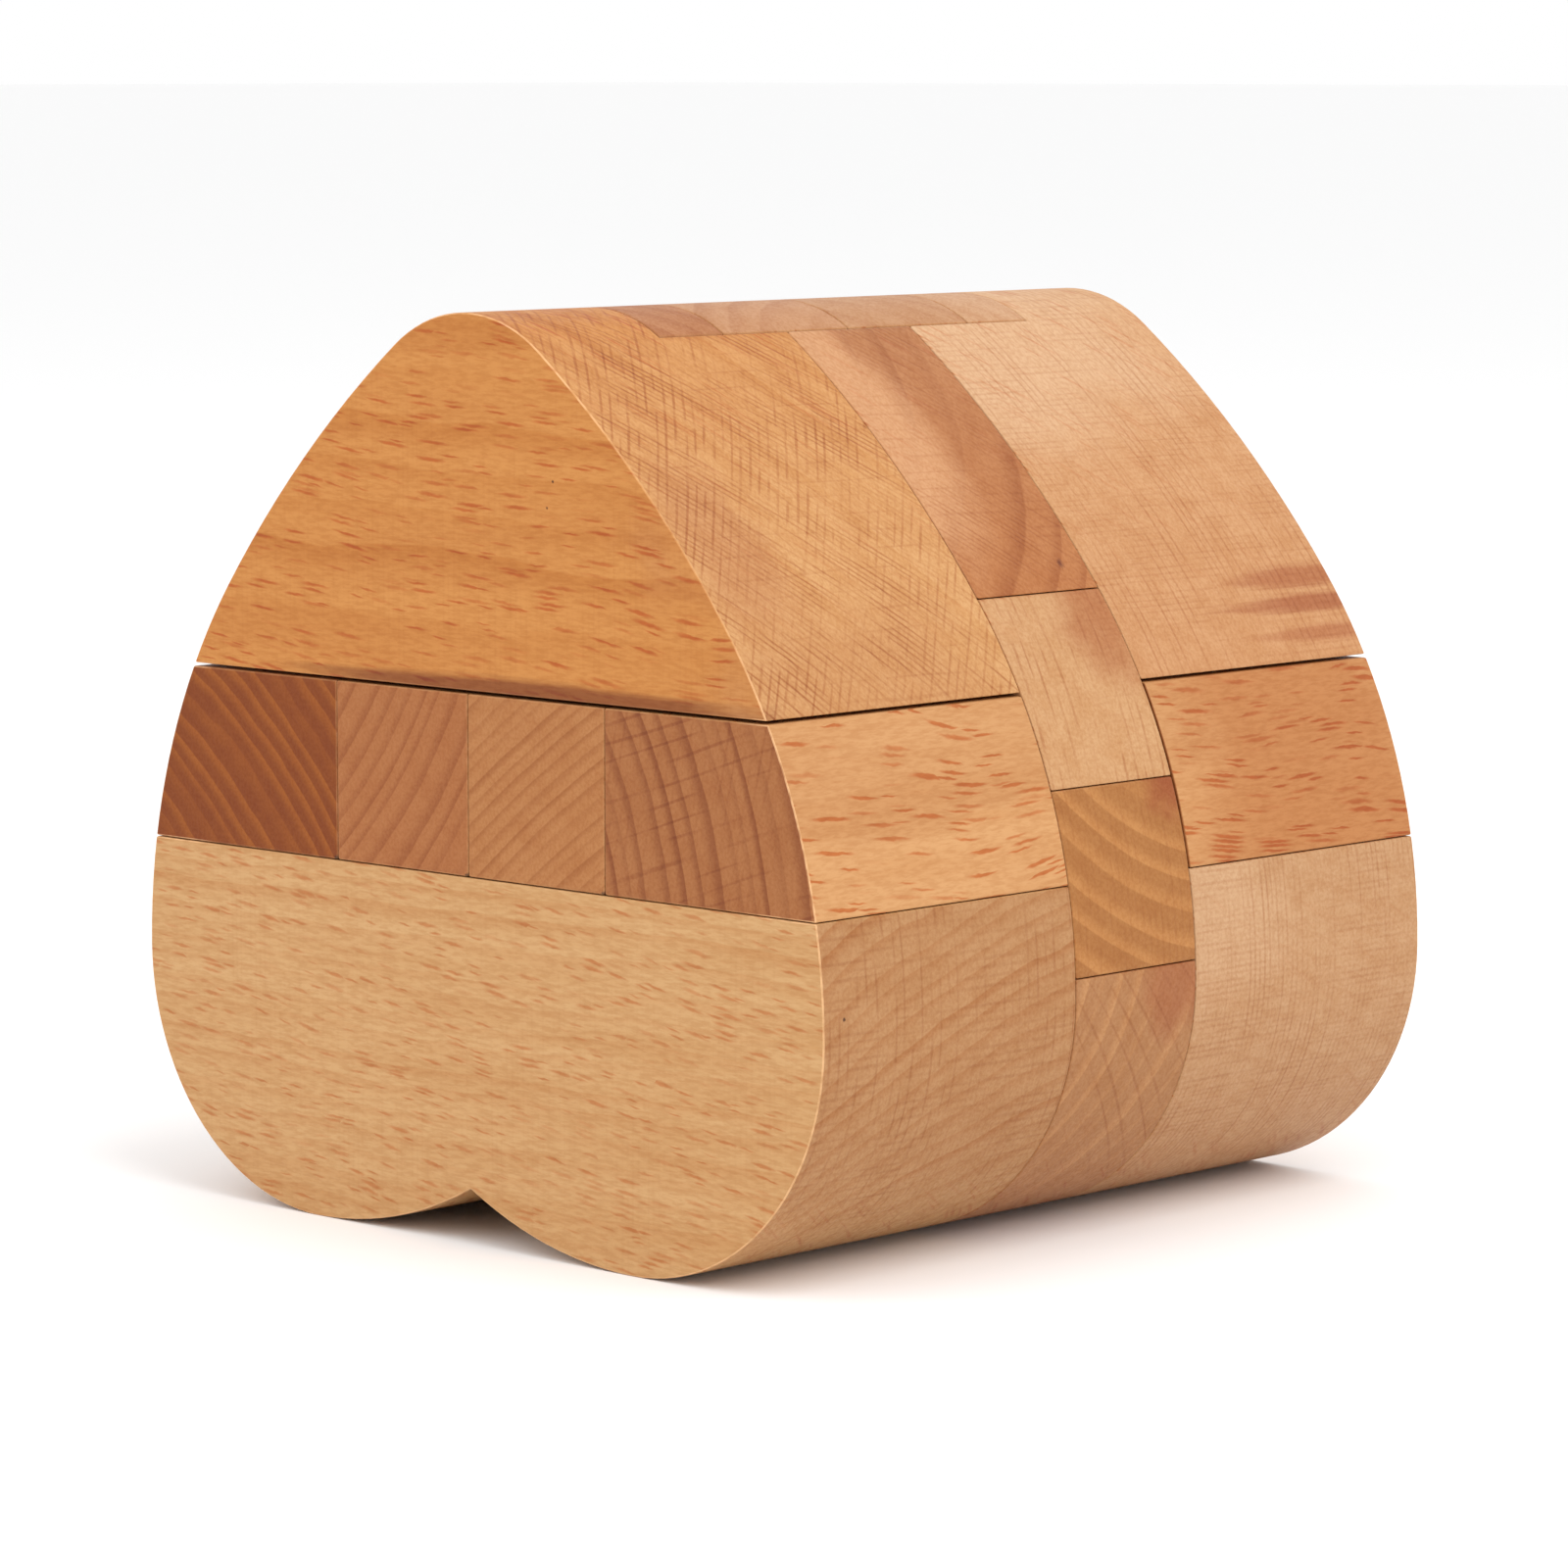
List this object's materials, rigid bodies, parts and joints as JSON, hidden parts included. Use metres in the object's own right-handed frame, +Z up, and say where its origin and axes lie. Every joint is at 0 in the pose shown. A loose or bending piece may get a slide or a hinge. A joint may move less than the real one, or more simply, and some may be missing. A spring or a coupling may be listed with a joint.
{
  "type": "burr puzzle",
  "caption": "Heart-shaped wooden burr puzzle standing on its two lobes, with interlocking sticks and corner blocks and sliding key pieces.",
  "frame": {"origin": "on the ground under the middle of the heart, midway between the two lobes and midway through the depth", "axes": "+X across the heart to the right seen from the front, +Y from the front face to the rear face, +Z up towards the peak"},
  "size_m": [0.0794, 0.0742, 0.0761],
  "materials": {
    "honey_beech": "sanded and oiled, satin",
    "pale_beech": "sanded and oiled, satin",
    "tan_beech": "sanded and oiled, satin",
    "dark_beech": "sanded and oiled, satin",
    "pink_beech": "sanded and oiled, satin",
    "orange_beech": "sanded and oiled, satin",
    "red_beech": "sanded and oiled, satin"
  },
  "bodies": {
    "locked_core": {"front_upper_block": "honey_beech", "rear_upper_block": "pale_beech", "front_lower_block": "tan_beech", "rear_lower_block": "pale_beech", "row_stick_left_outer": "dark_beech", "row_stick_left_inner": "pink_beech", "row_stick_right_inner": "tan_beech", "row_stick_right_outer": "orange_beech", "cross_stick_top": "red_beech", "cross_stick_lower": "honey_beech", "cross_stick_bottom": "pink_beech", "front_upright": "tan_beech", "rear_upright": "pink_beech"},
    "cross_key": {"cross_key": "pale_beech"},
    "front_key": {"front_key_strip": "red_beech"},
    "rear_key": {"rear_key_strip": "tan_beech"}
  },
  "joints": [
    {"name": "cross_key_slide", "type": "slide", "parent": "locked_core", "child": "cross_key", "axis": [1, 0, 0], "range_m": [-0.06, 0.06]},
    {"name": "front_key_slide", "type": "slide", "parent": "locked_core", "child": "front_key", "axis": [0, 0, 1], "range_m": [0, 0.055]},
    {"name": "rear_key_slide", "type": "slide", "parent": "locked_core", "child": "rear_key", "axis": [0, 0, 1], "range_m": [0, 0.055]}
  ]
}
